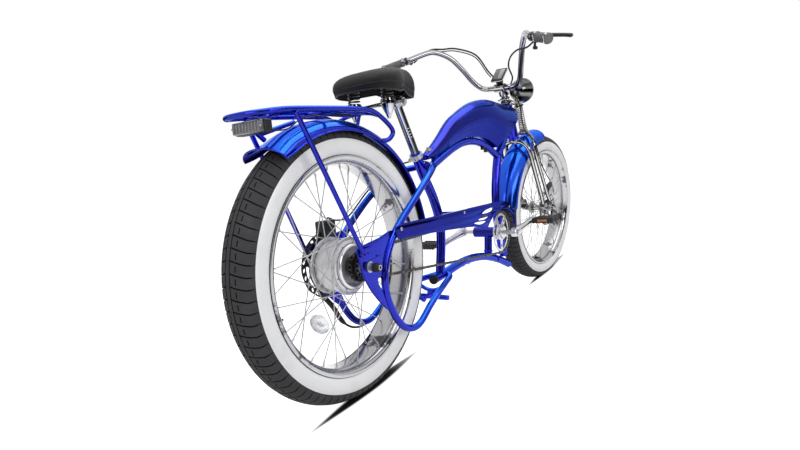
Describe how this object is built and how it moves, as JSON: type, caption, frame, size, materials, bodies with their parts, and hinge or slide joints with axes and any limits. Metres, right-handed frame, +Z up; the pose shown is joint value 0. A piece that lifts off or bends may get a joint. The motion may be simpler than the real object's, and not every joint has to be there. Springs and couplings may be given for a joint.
{
  "type": "electric stretch cruiser",
  "caption": "Long low cruiser bicycle with a hub motor, tank battery, sprung link fork, wide handlebar, padded saddle, rear rack, fenders and a folding stand.",
  "frame": {"origin": "centre of the bounding box at floor level, below the bicycle", "axes": "+X points forwards along the bicycle, +Y to its left side, +Z up; the chain is on the -Y side"},
  "size_m": [2.2774, 0.8271, 1.1235],
  "materials": {
    "candy_blue": "metallic gloss",
    "chrome": "polished",
    "silver_alloy": "satin",
    "steel": "satin",
    "tyre": "matte",
    "rubber": "matte",
    "black_alloy": "satin",
    "black_plastic": "matte",
    "black_vinyl": "satin",
    "grey_lens": "gloss",
    "battery_wrap": "matte"
  },
  "bodies": {
    "frame": {"frame_loop_left": "candy_blue", "frame_loop_right": "candy_blue", "seat_tube": "candy_blue", "lower_arch_tube": "candy_blue", "top_tube": "candy_blue", "down_tube": "candy_blue", "bottom_bracket_shell": "candy_blue", "rear_fender": "candy_blue", "rear_rack": "candy_blue", "tail_light": "grey_lens", "chain_guard": "candy_blue", "chain": "steel", "stand_bracket": "candy_blue", "rear_brake_caliper": "black_alloy", "battery_tank": "candy_blue", "battery_pack": "battery_wrap", "motor_controller": "silver_alloy", "seat_clamp": "steel", "motor_axle": "steel"},
    "rear_wheel": {"rear_tyre": "tyre", "rear_inner_tube": "rubber", "rear_rim": "chrome", "rear_spokes_right": "steel", "rear_spokes_left": "steel", "hub_motor_shell": "silver_alloy", "rear_brake_disc": "black_alloy"},
    "freewheel_body": {"freewheel": "black_alloy"},
    "crank_body": {"crankset": "silver_alloy"},
    "right_pedal_body": {"pedal_right": "black_plastic"},
    "left_pedal_body": {"pedal_left": "black_plastic"},
    "stand_body": {"kickstand": "black_alloy"},
    "lock_body": {"key_lock": "steel"},
    "seat_post_body": {"seat_post": "chrome", "saddle_frame": "chrome", "saddle_spring_left": "black_alloy", "saddle_spring_right": "black_alloy"},
    "saddle_body": {"saddle": "black_vinyl"},
    "steering_body": {"springer_fork": "chrome", "front_fender": "candy_blue", "stem": "chrome", "handlebar": "chrome", "grip_left": "rubber", "grip_right": "rubber", "display": "black_plastic", "headlight": "chrome", "control_cables": "rubber", "fork_spring": "chrome"},
    "rocker_body": {"rocker_link": "steel", "front_brake_caliper": "black_alloy"},
    "front_legs_body": {"fork_front_legs": "chrome"},
    "front_wheel": {"front_tyre": "tyre", "front_inner_tube": "rubber", "front_rim": "chrome", "front_spokes_right": "steel", "front_spokes_left": "steel", "front_hub": "silver_alloy", "front_brake_disc": "black_alloy"},
    "right_lever_body": {"brake_lever_right": "black_alloy"},
    "left_lever_body": {"brake_lever_left": "black_alloy"},
    "throttle_body": {"thumb_throttle": "black_plastic"}
  },
  "joints": [
    {"name": "rear_wheel_spin", "type": "hinge", "parent": "frame", "child": "rear_wheel", "pos_m": [-0.7735, -0.022, 0.3635], "axis": [0, 1, 0], "continuous": true},
    {"name": "crank_turn", "type": "hinge", "parent": "frame", "child": "crank_body", "pos_m": [0.1695, -0.022, 0.3195], "axis": [0, 1, 0], "continuous": true},
    {"name": "freewheel_turn", "type": "hinge", "parent": "frame", "child": "freewheel_body", "pos_m": [-0.7735, -0.022, 0.3635], "axis": [0, 1, 0], "continuous": true},
    {"name": "right_pedal_turn", "type": "hinge", "parent": "crank_body", "child": "right_pedal_body", "pos_m": [0.33665, -0.215, 0.35048], "axis": [0, 1, 0], "continuous": true},
    {"name": "left_pedal_turn", "type": "hinge", "parent": "crank_body", "child": "left_pedal_body", "pos_m": [0.00235, 0.171, 0.28852], "axis": [0, 1, 0], "continuous": true},
    {"name": "stand_swing", "type": "hinge", "parent": "frame", "child": "stand_body", "pos_m": [-0.3235, 0.038, 0.1635], "axis": [-0.075, -0.9063, -0.416], "range_deg": [0, 74.5]},
    {"name": "key_turn", "type": "hinge", "parent": "frame", "child": "lock_body", "pos_m": [-0.2815, -0.022, 0.6665], "axis": [-0.4699, 0, 0.8827], "range_deg": [0, 90]},
    {"name": "seat_post_slide", "type": "slide", "parent": "frame", "child": "seat_post_body", "axis": [-0.4924, 0, 0.8704], "range_m": [-0.018, 0.025]},
    {"name": "saddle_sink", "type": "slide", "parent": "seat_post_body", "child": "saddle_body", "axis": [0, 0, 1], "range_m": [-0.012, 0], "stiffness_N_per_m": 20000, "springref_m": 0.005, "deforming": ["saddle_spring_left", "saddle_spring_right"]},
    {"name": "steering_turn", "type": "hinge", "parent": "frame", "child": "steering_body", "pos_m": [0.4065, -0.022, 0.9225], "axis": [-0.4384, 0, 0.8988], "range_deg": [-38.5, 51.4]},
    {"name": "rocker_swing", "type": "hinge", "parent": "steering_body", "child": "rocker_body", "pos_m": [0.67845, -0.02307, 0.38647], "axis": [-0.101, -0.9937, -0.0492], "range_deg": [0, 11.5], "stiffness_Nm_per_rad": 120, "springref_deg": -20.05},
    {"name": "front_legs_slide", "type": "slide", "parent": "steering_body", "child": "front_legs_body", "axis": [-0.1895, -0.0294, 0.9814], "range_m": [0, 0.016], "deforming": ["fork_spring"]},
    {"name": "front_wheel_spin", "type": "hinge", "parent": "rocker_body", "child": "front_wheel", "pos_m": [0.77351, -0.03158, 0.36326], "axis": [0.101, 0.9937, 0.0492], "continuous": true},
    {"name": "right_lever_pull", "type": "hinge", "parent": "steering_body", "child": "right_lever_body", "pos_m": [0.10229, -0.29884, 1.04025], "axis": [0.2078, 0.243, -0.9475], "range_deg": [0, 18], "stiffness_Nm_per_rad": 1, "springref_deg": -20.05},
    {"name": "left_lever_pull", "type": "hinge", "parent": "steering_body", "child": "left_lever_body", "pos_m": [0.16287, 0.29737, 1.0698], "axis": [-0.1642, 0.1858, 0.9688], "range_deg": [0, 18], "stiffness_Nm_per_rad": 1, "springref_deg": -20.05},
    {"name": "throttle_push", "type": "hinge", "parent": "steering_body", "child": "throttle_body", "pos_m": [0.04684, -0.29347, 1.02947], "axis": [-0.5958, -0.7368, -0.3196], "range_deg": [0, 35], "stiffness_Nm_per_rad": 0.3, "springref_deg": -22.92}
  ],
  "couplings": [
    {"joint": "freewheel_turn", "follows": "crank_turn", "ratio": 2.3333},
    {"joint": "front_legs_slide", "follows": "rocker_swing", "m_per_rad": 0.0793}
  ]
}
